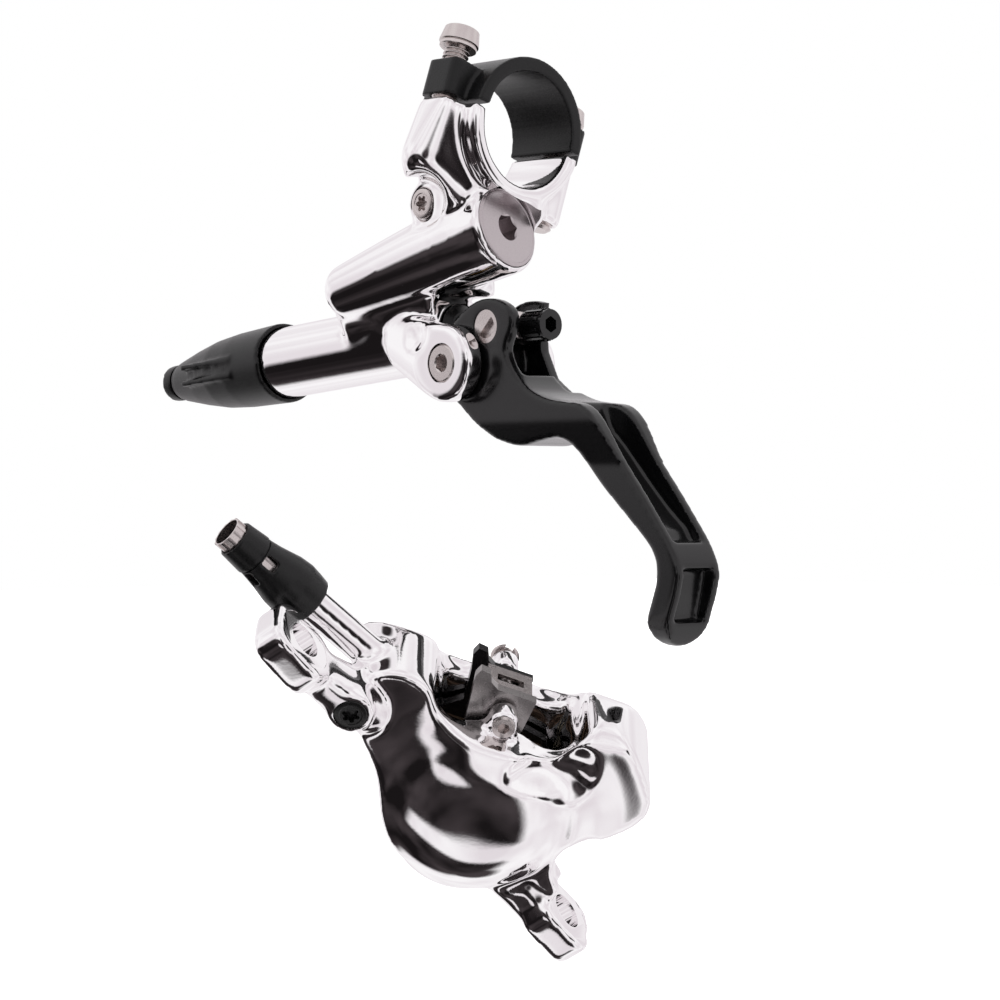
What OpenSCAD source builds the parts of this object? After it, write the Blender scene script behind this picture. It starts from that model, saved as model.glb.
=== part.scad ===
// Hydraulic disc brake set for a bicycle: a lever with its master cylinder, and a two-piston caliper.
// Origin: centre of the handlebar bore. +X runs along the bar towards its end, +Z is up.

/* [Handlebar clamp] */
// Diameter of the handlebar
bar_d = 22.2; // [20:0.1:26]
// Width of the clamp along the bar
clamp_w = 17; // [13:0.5:20]
// Wall of the clamp cap over the bar
cap_wall = 2.7; // [2.2:0.1:4]
// Distance of each clamp bolt from the bar's surface
clamp_bolt_gap = 4.2; // [4.2:0.1:6]
// Diameter of the clamp bolts
clamp_bolt_d = 5; // [4:0.5:5.5]
// Height of the cap's lugs over the split line
cap_lug_h = 7.6; // [6:0.2:9]
// Turn of the split line about the bar, in degrees
clamp_tilt = 19; // [10:1:25]
// Distance that the near bolt is backed out
near_bolt_raise = 3; // [0:0.2:4]

/* [Reservoir] */
// Radius of the reservoir cap
res_cap_r = 7.9; // [7:0.1:8.5]
// Wall of the barrel round the cap
res_rim = 0.8; // [0.6:0.1:1.2]
// Length of the reservoir barrel
res_len = 46; // [42:1:50]
// Rise of the reservoir's axis towards the cap, in degrees
res_rise = 14.5; // [10:0.5:18]
// Turn of the reservoir's axis away from the rider, in degrees
res_yaw = 7; // [4:0.5:10]

/* [Master cylinder] */
// Radius of the cylinder tube
tube_r = 7.4; // [7:0.1:8]
// Diameter of the master piston
master_d = 10; // [8:0.5:10.5]
// Length of the cylinder from the lever's barrel pin to the end of the tube
tube_len = 69; // [62:1:74]
// Rise of the cylinder's axis towards the lever, in degrees
cyl_rise = 5; // [3:0.5:8]
// Depth of the bore's mouth behind the barrel pin
mouth_at = 15; // [14:0.5:18]
// Running clearance of pistons and pins
run_gap = 0.05; // [0.02:0.01:0.08]

/* [Lever blade] */
// Width of the lever over its cheeks
blade_w = 14; // [13:0.5:15]
// Width of the finger blade
finger_w = 11.4; // [10:0.2:13]
// Wall of the cheeks and of the rails
blade_wall = 2.4; // [1.8:0.1:3]
// Radius of the pivot screw's shank
pivot_r = 2.5; // [2:0.1:3]
// Thickness of each pivot ear
ear_t = 4.4; // [3:0.2:5]
// Radius of the barrel pin
barrel_r = 3.2; // [3:0.1:3.5]
// Radius of the pushrod
pushrod_r = 2; // [1.5:0.1:2.4]
// Radius of the reach knob
knob_r = 2.9; // [2.6:0.1:3.6]

/* [Caliper] */
// Distance between the two mounting holes
ear_spacing = 74.2; // [70:0.1:78]
// Radius of the mounting holes
ear_hole_r = 3.3; // [3.1:0.1:3.6]
// Thickness of the mounting ears
caliper_ear_t = 6; // [5:0.5:8]
// Distance of the rotor's plane from the plane of the mounting holes
rotor_offset = 14; // [12:0.5:16]
// Diameter of the caliper pistons
piston_d = 22; // [20:0.5:23]
// Half of the gap between the linings
pad_gap = 1.2; // [1.1:0.1:1.6]
// Thickness of each friction lining
lining_t = 2.2; // [1.5:0.1:2.6]
// Thickness of each backing plate
plate_t = 1.8; // [1.5:0.1:2.2]
// Half of the caliper's width on the near side
body_half_w = 19; // [18.6:0.2:21]
// Rotor radius that the slot clears
rotor_r = 80; // [70:1:90]

/* [Hidden] */
$fn = 48;

metal = "silver";
black = "#202022";
rubber = "#2b2b2d";
brass = "#b5975a";

bar_r = bar_d / 2;
cap_r = bar_r + cap_wall;
split_gap = 0.3;
bolt_r = clamp_bolt_d / 2;
washer_r = 3.6;
washer_room = 0.18;
// Far enough out for the washer to clear the cap's arch at the height of its lugs
clamp_bolt_offset = max(bar_r + clamp_bolt_gap,
  sqrt(pow(cap_r, 2) - pow(cap_lug_h, 2)) + washer_r + washer_room);
lug_half_x = 4.2;
lug_out = clamp_bolt_offset + 3;
lug_in = bar_r + 0.4;
near_hole_h = 11;
far_hole_h = 17;
far_lug_h = 13;

// Places in the row's own frame
pivot = [-3.8, 0, -44.5];
barrel = [3.3, 0, -37.6];
cyl_at = [3.3, 0, -36.2];
res_face = [6.5, -4, -18.8];
bleed_at = [-9.4, -12, -13.7];
bleed_r = 3;

res_r = res_cap_r + res_rim;
res_end_r = 5.6;
chamber_r = 6.4;
cap_disc_t = 2;
plug_r = 7;
plug_len = 3;

bore_r = master_d / 2 + run_gap;
ball_r = 2.4;
ball_at = -(mouth_at + 6.2);
ball = cyl_at + ball_at * [cos(cyl_rise), 0, sin(cyl_rise)];
rod_rise = atan2(barrel[2] - ball[2], barrel[0] - ball[0]);
rod_len = norm(barrel - ball);
knob_x0 = barrel_r + 1.6;
knob_x1 = knob_x0 + 6;
piston_x1 = -(mouth_at + 3.2);
piston_x0 = piston_x1 - 15;
bore_end = -(mouth_at + 36);
port_r = 4;
nut_x0 = -(tube_len + 9);
hose_r = 2.6;

cheek_in = blade_w / 2 - blade_wall;
rail_t = 1.9;
hub_r = 6.6;
hub_half = blade_w / 2 + 0.2;
ear_in = blade_w / 2 + 0.5;
ear_out = ear_in + ear_t;
ear_r = 7.5;
bush_wall = 0.8;
screw_head_r = 3.7;

// The caliper's body frame has its origin between the pistons: X along the rotor's edge,
// Y along the pistons, Z away from the hub. The ears' frame is turned about Y against it.
caliper_at = [26, -29.7, -118.3];
caliper_turn = [45.6, 41.45, 80.25];
pads_tilt = 28.8;
ears_tilt = 30.2;
ears_mid = [9.9, rotor_offset, 0.4];
piston_r = piston_d / 2;
// Height of the pistons' axis in the caliper's frame
piston_z = -4.5;
far_half_w = 17.8;
disc_r = piston_r + 2.8;
rotor_edge_z = 8.5;
spot_r = 5.8;
pocket_y = pad_gap + lining_t + plate_t + 0.8;
plate_y = pad_gap + lining_t;
piston_y0 = plate_y + plate_t;
piston_len = 9.4;
bore_y1 = piston_y0 + piston_len + 0.4;
seal_y = piston_y0 + 4;
// Bleed screw and pad pin, as X and Z in the caliper's frame
bleed_b = [-28.6, 13.2];
pin_at = [-1.8, 16.8];
pin_r = 1.5;
pin_boss_y = 10.2;
pin_boss_r = 2.7;
pad_half_x = 12.5;
cap_bore_r = piston_r + 0.9;
fitting_at = [-32.9, -2, 19.4];
fitting_tilt = 24;
// Reach of the fitting's sleeve from its seat
sleeve_len = 28.4;
collar_x0 = 1.9 - sleeve_len;
tube_end_r = 3.3;

// Cylinder or cone from x0 to x1 on the X axis
module rod(x0, x1, r0, r1) {
  translate([x0, 0, 0]) rotate([0, 90, 0]) cylinder(h = x1 - x0, r1 = r0, r2 = r1);
}

// Cylinder from y0 to y1 along Y at [x, z]
module rod_y(x, z, y0, y1, r) {
  translate([x, y0, z]) rotate([-90, 0, 0]) cylinder(h = y1 - y0, r = r);
}

// Cylinder between two points
module rod_between(a, b, r) {
  d = b - a;
  l = norm(d);
  translate(a) rotate([0, acos(d[2] / l), atan2(d[1], d[0])]) cylinder(h = l, r = r);
}

// Ring about the X axis: section corners x0, x1 and radii r0, r1
module ring(x0, x1, r0, r1) {
  translate([x0, 0, 0]) rotate([0, 90, 0]) difference() {
    cylinder(h = x1 - x0, r = r1);
    translate([0, 0, -1]) cylinder(h = x1 - x0 + 2, r = r0);
  }
}

// Body of revolution about the X axis from a profile of [x, r] points
module revolve(points) {
  rotate([0, 90, 0]) rotate_extrude() polygon([for (p = points) [p[1], p[0]]]);
}

// Rectangle with round corners, centred in x, from y0 to y1
module round_rect(half_x, y0, y1, r) {
  translate([-half_x + r, y0]) square([2 * half_x - 2 * r, y1 - y0]);
  translate([-half_x, y0 + r]) square([2 * half_x, y1 - y0 - 2 * r]);
  for (x = [-half_x + r, half_x - r], y = [y0 + r, y1 - r]) translate([x, y]) circle(r = r);
}

// Flat outline in the XZ plane, extruded over y0 to y1
module plate_xz(y0, y1) {
  translate([0, y1, 0]) rotate([90, 0, 0]) linear_extrude(height = y1 - y0) children();
}

// Smooth closed curve through the points, with n steps between neighbours
function curve_point(a, b, c, d, t) = 0.5 * ((2 * b) + (c - a) * t
  + (2 * a - 5 * b + 4 * c - d) * t * t + (3 * b - a - 3 * c + d) * t * t * t);
function smooth(p, n = 4) = let (m = len(p)) [for (i = [0 : m - 1], k = [0 : n - 1])
  curve_point(p[(i + m - 1) % m], p[i], p[(i + 1) % m], p[(i + 2) % m], k / n)];

module clamp_frame() { rotate([-clamp_tilt, 0, 0]) children(); }
module res_frame() { translate(res_face) rotate([0, -res_rise, res_yaw]) children(); }
module cyl_frame() { translate(cyl_at) rotate([0, -cyl_rise, 0]) children(); }
module rod_frame() { translate(barrel) rotate([0, -rod_rise, 0]) children(); }
module caliper_frame() {
  translate(caliper_at) rotate(caliper_turn) rotate([0, -pads_tilt, 0]) children();
}
// The frame of the ears, inside the caliper's frame: X from ear to ear, Z along the bolts
module ears_frame() { rotate([0, ears_tilt, 0]) translate(-ears_mid) children(); }

// Clamp cap with its two lugs
module clamp_cap() color(black) clamp_frame() difference() {
  union() {
    intersection() {
      rod(-clamp_w / 2, clamp_w / 2, cap_r, cap_r);
      translate([-clamp_w, -30, split_gap]) cube([2 * clamp_w, 60, 30]);
    }
    for (side = [-1, 1]) translate([0, 0, split_gap]) linear_extrude(height = cap_lug_h - split_gap)
      scale_y(side) round_rect(lug_half_x, lug_in - 2, lug_out, 1.6);
  }
  rod(-clamp_w, clamp_w, bar_r, bar_r);
  for (side = [-1, 1]) translate([0, side * clamp_bolt_offset, -1])
    cylinder(h = 30, r = bolt_r + 0.15);
}
module scale_y(side) { mirror([0, side < 0 ? 1 : 0]) children(); }

// Clamp bolt with a tapered head and a loose washer under it
module clamp_bolt(side, raise, depth) color("#8d8785") clamp_frame()
  translate([0, side * clamp_bolt_offset, cap_lug_h + raise]) difference() {
    union() {
      translate([0, 0, -depth]) cylinder(h = depth + 1, r = bolt_r);
      cylinder(h = 0.8, r = washer_r);
      translate([0, 0, 0.8]) cylinder(h = 3.2, r1 = 3.9, r2 = 3.3);
    }
    translate([0, 0, 1.6]) cylinder(h = 3, r = 2, $fn = 6);
  }
module clamp_bolt_near() clamp_bolt(-1, near_bolt_raise, 18);
module clamp_bolt_far() clamp_bolt(1, 0.02, 21.5);

// Lower half of the clamp with the two bolt bosses
module saddle() {
  clamp_frame() {
    intersection() {
      rod(-clamp_w / 2, clamp_w / 2, cap_r + 0.4, cap_r + 0.4);
      translate([-clamp_w, -30, -30 - split_gap]) cube([2 * clamp_w, 60, 30]);
    }
    translate([0, 0, -far_lug_h]) linear_extrude(height = far_lug_h - split_gap)
      round_rect(lug_half_x, lug_in - 2, lug_out, 3);
  }
  // Tower under the near lug, flaring into the reservoir
  hull() {
    clamp_frame() translate([0, 0, -split_gap - 1]) linear_extrude(height = 1)
      round_rect(lug_half_x, -lug_out, -lug_in + 2, 1.6, $fn = 24);
    clamp_frame() translate([-1.6, -clamp_bolt_offset + 0.3, -11.5]) sphere(r = 4.6, $fn = 24);
    translate([-9.5, -7.5, -16.5]) sphere(r = 4.6, $fn = 24);
    translate([0, -4, -16]) sphere(r = 5, $fn = 24);
  }
  // Web under the bar bore
  hull() {
    translate([-4, 3, -14.5]) sphere(r = 4.5, $fn = 24);
    translate([3.5, 3, -14.5]) sphere(r = 4.5, $fn = 24);
    translate([-4, -3, -18]) sphere(r = 5, $fn = 24);
  }
}

module res_barrel() res_frame() revolve([[-res_len, 0], [-res_len, 2.6], [-res_len + 0.9, 4.4],
  [-res_len + 2.6, res_end_r], [-14, res_r - 0.15], [-6, res_r], [-0.6, res_r], [0, res_r - 0.5], [0, 0]]);

// Pivot ears with their arms
module ears() for (side = [-1, 1]) scale_side(side) hull() {
  rod_y(pivot[0], pivot[2], ear_in, ear_out, ear_r, $fn = 32);
  rod_y(-19, -40, 3.5, 8.6, 5.4, $fn = 24);
}
module scale_side(side) { mirror([0, side < 0 ? 1 : 0, 0]) children(); }

// The lever's one-piece body: clamp saddle, reservoir, cylinder and pivot ears
module lever_body() color(metal) difference() {
  union() {
    saddle();
    res_barrel();
    cyl_frame() {
      rod(-tube_len, -mouth_at, tube_r, tube_r);
      rod(nut_x0, -tube_len, 5.4, 5.4);
      rod(-tube_len - 0.1, -tube_len + 1.2, tube_r - 1, tube_r);
    }
    // Neck and root between reservoir and cylinder
    hull() {
      translate([-13, -5, -26.5]) sphere(r = 5.5, $fn = 24);
      translate([-14, -2, -35]) sphere(r = 5.6, $fn = 24);
      translate([-34, -2, -38.5]) sphere(r = 5.6, $fn = 24);
      translate([-35, -7.5, -30.5]) sphere(r = 4.4, $fn = 24);
    }
    ears();
    rod_y(bleed_at[0], bleed_at[2], bleed_at[1], -5, bleed_r + 1.2);
    // Lip over the pushrod
    translate([-13, -3.6, -31.4]) cube([8.4, 7.2, 4]);
  }
  // Bar, with more room past the clamp's width, and clamp bolts
  rod(-clamp_w, clamp_w, bar_r, bar_r);
  rod(-clamp_w, -clamp_w / 2 - 0.1, bar_r + 1.4, bar_r + 1.4);
  clamp_frame() for (side = [-1, 1])
    translate([0, side * clamp_bolt_offset, side < 0 ? -near_hole_h : -far_hole_h])
      cylinder(h = 20, r = bolt_r + run_gap);
  // Reservoir chamber, gasket step and cap seat
  res_frame() {
    rod(-30, 1, chamber_r, chamber_r);
    rod(-res_len + 4, -28, 2.6, 2.6);
    rod(-cap_disc_t - plug_len - 1.2, 1, plug_r + run_gap, plug_r + run_gap);
    rod(-cap_disc_t, 1, res_cap_r + run_gap, res_cap_r + run_gap);
  }
  // Cylinder bore, ring groove, fluid passage and hose port
  cyl_frame() {
    rod(bore_end, 0, bore_r, bore_r);
    rod(-mouth_at - 2.2, -mouth_at - 1, bore_r + 0.8, bore_r + 0.8);
    rod(nut_x0 + 2, bore_end + 1, 1, 1);
    rod(nut_x0 - 1, -tube_len + 4, port_r + run_gap, port_r + run_gap);
  }
  rod_between([-33.5, 0, -41.5], [-33.5, -8.6, -29.2], 0.6);
  // Room for the lever's hub, and for the cheeks as they swing
  rod_y(pivot[0], pivot[2], -ear_in, ear_in, hub_r + 0.9);
  plate_xz(-ear_in, ear_in) polygon([[-10.9, -31.8], [-10.9, -40], [-9.4, -52], [12, -52], [12, -31.8]]);
  rod_y(pivot[0], pivot[2], -ear_out - 1, ear_out + 1, pivot_r + run_gap);
  rod_y(pivot[0], pivot[2], -ear_out - 1, -ear_out + 2, screw_head_r + run_gap);
  // Bleed hole down to the chamber
  rod_y(bleed_at[0], bleed_at[2], bleed_at[1] - 1, -6.5, bleed_r - 1 + run_gap);
  rod_y(bleed_at[0], bleed_at[2], bleed_at[1] - 1, bleed_at[1] + 1.6, bleed_r + run_gap);
  rod_between([bleed_at[0], -7.5, bleed_at[2]], [bleed_at[0], -6, -20], 0.8);
}

module reservoir_cap() color("#b9b2b0") res_frame() difference() {
  revolve([[-cap_disc_t - plug_len, 0], [-cap_disc_t - plug_len, plug_r], [-cap_disc_t, plug_r],
    [-cap_disc_t, res_cap_r], [-0.5, res_cap_r], [0.1, res_cap_r - 0.6], [0.1, 0]]);
  translate([0.2, 0, 0]) rotate([0, -90, 0]) cylinder(h = 3, r = 2.3, $fn = 6);
  rod(-cap_disc_t - plug_len - 1, -cap_disc_t - 1.4, 4.6, 4.6);
}
module reservoir_cap_seal() color(rubber) res_frame()
  ring(-cap_disc_t - plug_len - 1.2, -cap_disc_t - plug_len, chamber_r - 1.4, plug_r);
module reservoir_bladder() color(rubber) res_frame() revolve([[-27, 0], [-27, 4.2], [-25.5, 5.8],
  [-cap_disc_t - plug_len - 1.3, 5.8], [-cap_disc_t - plug_len - 1.3, 5], [-25, 5], [-26.2, 3.9],
  [-26.2, 0]]);

// Small countersunk screw of a bleed port, pointing along -Y, with its head's face at y = 0
module bleed_screw(head_r, head_t, shank_r, shank_len) difference() {
  union() {
    rod_y(0, 0, 0, head_t, head_r);
    rod_y(0, 0, head_t - 0.1, head_t + shank_len, shank_r);
  }
  for (k = [0 : 2]) rotate([0, 60 * k, 0]) translate([-1.6, -1, -0.45]) cube([3.2, 2.2, 0.9]);
  rod_y(0, 0, -1, 1.2, 1.15);
}
module lever_bleed_screw() color("#c9c3c1") translate(bleed_at + [0, 0.1, 0])
  bleed_screw(bleed_r, 1.1, bleed_r - 1, 3.4);
module lever_bleed_seal() color(rubber) translate([bleed_at[0], bleed_at[1] + 1.22, bleed_at[2]])
  difference() {
    rod_y(0, 0, 0, 0.36, bleed_r - 0.1);
    rod_y(0, 0, -1, 2, bleed_r - 0.9);
  }

module pivot_screw() color("#b9b2b0") difference() {
  union() {
    rod_y(pivot[0], pivot[2], -ear_out, ear_out - 0.4, pivot_r);
    rod_y(pivot[0], pivot[2], -ear_out, -ear_out + 1.96, screw_head_r);
  }
  translate([pivot[0], -ear_out - 0.1, pivot[2]]) rotate([-90, 0, 0]) cylinder(h = 2.2, r = 1.75, $fn = 6);
}
// Flanged bushings pressed into the lever's hub from both sides
module pivot_bushings() color(brass) for (side = [-1, 1]) scale_side(side) difference() {
  union() {
    rod_y(pivot[0], pivot[2], 3, hub_half, pivot_r + run_gap + bush_wall);
    rod_y(pivot[0], pivot[2], blade_w / 2 + 0.02, hub_half + 0.1, pivot_r + 2);
  }
  rod_y(pivot[0], pivot[2], 0, 10, pivot_r + run_gap);
}

// Side outline of the lever, from the hub over the shoulder and down to the hook
blade_outline = [[-9.8, -42], [-7.2, -38], [-2.8, -34.2], [1.8, -32.4], [6.4, -32.6], [10, -34.6],
  [10.6, -38], [8.9, -42.1], [10.8, -46], [14.8, -49.7], [20, -51.7], [25, -52.4], [29, -53],
  [32.6, -55.8], [37.6, -62.6], [42.8, -68.8], [47, -74], [50.6, -78.8], [52.6, -83.4],
  [52, -87.4], [50.6, -91.2], [49.4, -95], [47.6, -97.4], [45.2, -96.2], [44.6, -92.6],
  [45.8, -88.8], [47, -85.2], [46.9, -81.8], [45.2, -78.8], [41.8, -75.6], [36.8, -71.2], [33, -67.8],
  [29.7, -64.3], [26.4, -60.8], [22.4, -59], [17, -59.6], [11.6, -60.4], [5.6, -59], [0.4, -56],
  [-4.4, -52.2], [-9, -48.6]];
// Space between the two cheeks
clevis_outline = [[-16, -38], [-12, -26], [20, -26], [17, -38.6], [11.3, -42.6], [11.3, -46.8], [7.5, -51],
  [2, -51.4], [-4, -58], [-16, -53]];
// Pocket between the rails, on the side that faces the bar, and the hollow at the hook
pocket_outline = [[25.6, -50], [26.4, -57], [30.4, -61], [36, -67], [41.6, -72.6], [45.6, -76],
  [48, -78.4], [56, -74], [42, -54]];
hook_outline = [[58, -82.6], [50.2, -83.2], [49.4, -87.4], [48.2, -92.4], [58, -94]];
hook_round_z = -91.4;

module blade_solid() {
  intersection() {
    plate_xz(-blade_w / 2, blade_w / 2) polygon(smooth(blade_outline, 4));
    // Front view: wide cheeks, a narrower finger blade and a half-round end
    rotate([90, 0, 90]) translate([0, 0, -30]) linear_extrude(height = 120) union() {
      polygon([[-blade_w / 2, -20], [-blade_w / 2, -56], [-finger_w / 2, -64], [-finger_w / 2, hook_round_z],
        [finger_w / 2, hook_round_z], [finger_w / 2, -64], [blade_w / 2, -56], [blade_w / 2, -20]]);
      translate([0, hook_round_z]) circle(r = finger_w / 2);
    }
  }
  rod_y(pivot[0], pivot[2], -hub_half + 0.2, hub_half - 0.2, hub_r);
}
module lever_blade() color(black) difference() {
  blade_solid();
  // The far cheek is cut back behind the knob
  plate_xz(cheek_in - 1, blade_w) polygon([[7.4, -30], [6.2, -36], [6.6, -42], [9.4, -47.4],
    [14, -50.6], [22, -48], [22, -30]]);
  intersection() {
    plate_xz(-cheek_in, cheek_in) polygon(clevis_outline);
    difference() {
      plate_xz(-cheek_in, cheek_in) square([200, 200], center = true);
      rod_y(pivot[0], pivot[2], -10, 10, hub_r);
    }
  }
  plate_xz(-finger_w / 2 + rail_t, finger_w / 2 - rail_t) polygon(smooth(pocket_outline, 3));
  plate_xz(-finger_w / 2 + rail_t, finger_w / 2 - rail_t) polygon(hook_outline);
  // Channel for the pushrod, across the hub
  rod_frame() rod(-16, 2, pushrod_r + 0.5, pushrod_r + 0.5);
  rod_y(pivot[0], pivot[2], -10, 10, pivot_r + run_gap + bush_wall + 0.02);
  rod_y(barrel[0], barrel[2], -10, 10, barrel_r + run_gap);
}

module barrel_pin() color("#b9b2b0") difference() {
  rod_y(barrel[0], barrel[2], -blade_w / 2 + 0.2, blade_w / 2 - 0.2, barrel_r);
  rod_frame() rod(-10, 10, pushrod_r + run_gap, pushrod_r + run_gap);
  // D-shaped recess in the near end
  translate([barrel[0], -blade_w / 2, barrel[2]]) intersection() {
    rod_y(0, 0, -1, 1.2, 2.3);
    rotate([0, 45, 0]) translate([-0.2, -1, -3]) cube([3, 3, 6]);
  }
}
module pushrod() color("#8d8785") rod_frame() {
  translate([-rod_len, 0, 0]) sphere(r = ball_r);
  rod(-rod_len, -rod_len + 6, 1.5, 1.5);
  rod(-rod_len + 6, knob_x0 - 0.1, pushrod_r, pushrod_r);
}
module reach_knob() color(black) rod_frame() difference() {
  union() {
    rod(knob_x0, knob_x1, knob_r, knob_r);
    for (k = [0 : 17]) rotate([20 * k, 0, 0]) translate([knob_x0 + 0.8, knob_r - 0.25, -0.3])
      cube([4.3, 0.5, 0.6]);
  }
  translate([knob_x1 + 0.1, 0, 0]) rotate([0, -90, 0]) cylinder(h = 3, r = 1.6, $fn = 6);
}

// Rubber ring that closes the cylinder's mouth round the pushrod
module dust_boot() color(rubber) cyl_frame() revolve([[-mouth_at - 0.9, 2.9],
  [-mouth_at - 0.9, bore_r - 0.05], [-mouth_at + 0.6, bore_r - 0.05], [-mouth_at + 1.6, 3.4],
  [-mouth_at + 1.6, 2.9]]);
module piston_stop_ring() color("#8d8785") cyl_frame()
  ring(-mouth_at - 2.1, -mouth_at - 1.1, 3.4, bore_r + 0.7);
module master_piston() color(brass) cyl_frame() difference() {
  revolve([[piston_x0, 0], [piston_x0, 3], [piston_x0 + 1.6, 3], [piston_x0 + 1.6, master_d / 2],
    [piston_x0 + 8, master_d / 2], [piston_x0 + 8, 3.6], [piston_x0 + 10, 3.6],
    [piston_x0 + 10, master_d / 2], [piston_x1, master_d / 2], [piston_x1, 0]]);
  translate([ball_at, 0, 0]) sphere(r = ball_r + 0.3);
  rod(ball_at, 0, ball_r + 0.3, ball_r + 1.1);
}
module primary_cup() color(rubber) cyl_frame()
  ring(piston_x0 + 0.1, piston_x0 + 1.56, 3.02, bore_r - 0.02);
module secondary_cup() color(rubber) cyl_frame()
  ring(piston_x0 + 8.05, piston_x0 + 9.95, 3.62, bore_r - 0.02);

// Return spring: a wire swept along a helix between piston and bore end
spring_r = 3.6;
wire_r = 0.4;
spring_turns = 6;
spring_x0 = bore_end + wire_r + 0.05;
spring_x1 = piston_x0 - wire_r - 0.05;
spring_steps = 12;
function spring_at(i) = let (t = i / (spring_turns * spring_steps)) [spring_x0 + (spring_x1 - spring_x0) * t,
  spring_r * cos(360 * spring_turns * t), spring_r * sin(360 * spring_turns * t)];
function spring_ring(i) = let (a = 360 * i / spring_steps) [for (k = [0 : 5])
  spring_at(i) + wire_r * (cos(60 * k) * [0, cos(a), sin(a)] + sin(60 * k) * [1, 0, 0])];
module return_spring() color("#8d8785") cyl_frame() let (n = spring_turns * spring_steps) polyhedron(
  points = [for (i = [0 : n]) each spring_ring(i)],
  faces = concat([[5, 4, 3, 2, 1, 0]], [for (i = [0 : n - 1], k = [0 : 5])
    [6 * i + k, 6 * i + (k + 1) % 6, 6 * i + 6 + (k + 1) % 6, 6 * i + 6 + k]],
    [[for (k = [0 : 5]) 6 * n + k]]));

// Hollow nut that holds the hose in the lever's port
module lever_hose_nut() color("#8d8785") cyl_frame() difference() {
  union() {
    rod(nut_x0 - 4, nut_x0 - 0.02, 4.6, 4.6, $fn = 6);
    rod(nut_x0 - 0.1, nut_x0 + 7, port_r, port_r);
  }
  rod(nut_x0 - 5, nut_x0 + 8, hose_r, hose_r);
}
// Moulded boot over the tube's end
boot_x0 = -(tube_len + 37.5);
module lever_hose_boot() color(rubber) cyl_frame() difference() {
  union() {
    revolve([[boot_x0, 3], [boot_x0, 3.8], [boot_x0 + 2.6, 3.9], [boot_x0 + 3, 3.7], [boot_x0 + 5, 4.4],
      [boot_x0 + 12, 6], [boot_x0 + 19, 7.3], [boot_x0 + 26, 7.9], [-tube_len + 1, tube_r + 0.9],
      [-tube_len + 1, 3], [boot_x0, 3]]);
    for (s = [-1, 1]) translate([boot_x0 + 12, -8.1, s * 1.7 - 0.6]) cube([17, 2, 1.2]);
  }
  rod(boot_x0 - 1, -tube_len + 8, hose_r, hose_r);
  rod(nut_x0 - 5, -tube_len + 8, 5.5, 5.5);
  rod(-tube_len - 0.15, -tube_len + 8, tube_r + 0.02, tube_r + 0.02);
  // Concave rim towards the rider
  rod_y(-tube_len + 9.5, 3, -20, 20, 9);
}

// Half of the caliper over one piston: a rounded drum of half width w on the piston's axis
module drum(w) translate([0, 0, piston_z]) rotate([-90, 0, 0]) rotate_extrude() polygon([[0, pad_gap],
  [disc_r - 1, pad_gap], [disc_r, 5], [disc_r, w - 8.4], [disc_r - 0.7, w - 5.4], [disc_r - 2, w - 3.2],
  [disc_r - 4.4, w - 1.3], [disc_r - 7.6, w - 0.3], [disc_r - 9.6, w], [0, w]]);

// Side outline of the housing: hump over the hose port, window, right shoulder, pistons
housing_outline = [[-28.5, 10.6], [-28.4, 15], [-25.6, 19], [-20.6, 20.6], [-16.4, 19.4], [-14, 16.6],
  [-10, 15], [-4.6, 14.2], [1.6, 14.4], [5.4, 13.6], [8.6, 14.4], [11, 18.6], [13.6, 21.8],
  [17.4, 22.4], [21.4, 20.4], [25.6, 15.8], [28.8, 11.2], [29, 7.4], [26.6, 3.6], [22.6, 0.6],
  [18.4, -3.4], [15, -8.6], [11, -12.8], [0, -15], [-9, -13.6], [-14.4, -8.6], [-19, 0], [-23.8, 5]];
// Section across the rotor: steep near side, flat top and a sloping far side
cross_section = [[-20, -22], [15, -22], [15, 1], [14.2, 7], [12, 12], [8.6, 16.6], [5, 19.8], [2, 21.6],
  [-6, 22.4], [-9, 22], [-11.6, 20], [-14, 16.4], [-16.6, 10.6], [-18.6, 4], [-20, -3]];
// Near face: a shallow dome, as distance from its centre and depth
dome = [[0, 18.5], [6, 18.3], [10, 17.7], [14, 16.5], [17.5, 14.8], [21, 12.9], [25, 11.5],
  [30, 10.6], [37, 10]];

module housing() intersection() {
  plate_xz(-20, 17) polygon(smooth(housing_outline, 4));
  translate([-40, 0, 0]) rotate([90, 0, 90]) linear_extrude(height = 80) polygon(cross_section);
  translate([1, 0, -1]) rotate([90, 0, 0]) rotate_extrude($fn = 72)
    polygon(concat([[0, -21], [37, -21]], [for (i = [len(dome) - 1 : -1 : 0]) dome[i]]));
}
// Mounting ear with its flats, in the ears' frame
module ear_block(side) translate([side * ear_spacing / 2, 0, -caliper_ear_t])
  linear_extrude(height = caliper_ear_t) round_rect(6.8, -6.2, 6.2, 3.4);
// Foot of an arm inside its ear, x from the ears' middle
module arm_foot(x, r) ears_frame() translate([x, 0, -caliper_ear_t + 0.5])
  cylinder(h = caliper_ear_t - 1, r = r, $fn = 24);
module ear_arms() {
  hull() {
    arm_foot(-ear_spacing / 2 + 5.6, 3.6);
    translate([-27, -11.5, 12]) sphere(r = 4.4, $fn = 24);
    translate([-24, -7, 10]) sphere(r = 5, $fn = 24);
  }
  hull() {
    arm_foot(ear_spacing / 2 - 3.4, 4.6);
    translate([8, -11, -10.5]) sphere(r = 4.6, $fn = 24);
  }
  hull() {
    arm_foot(ear_spacing / 2 - 3.4, 3.4);
    translate([15.5, -10.5, 1]) sphere(r = 4.4, $fn = 24);
    translate([8, -11.5, -10.5]) sphere(r = 3.4, $fn = 24);
  }
}
module fitting_frame() translate(fitting_at) rotate([0, fitting_tilt, 0]) children();

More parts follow.
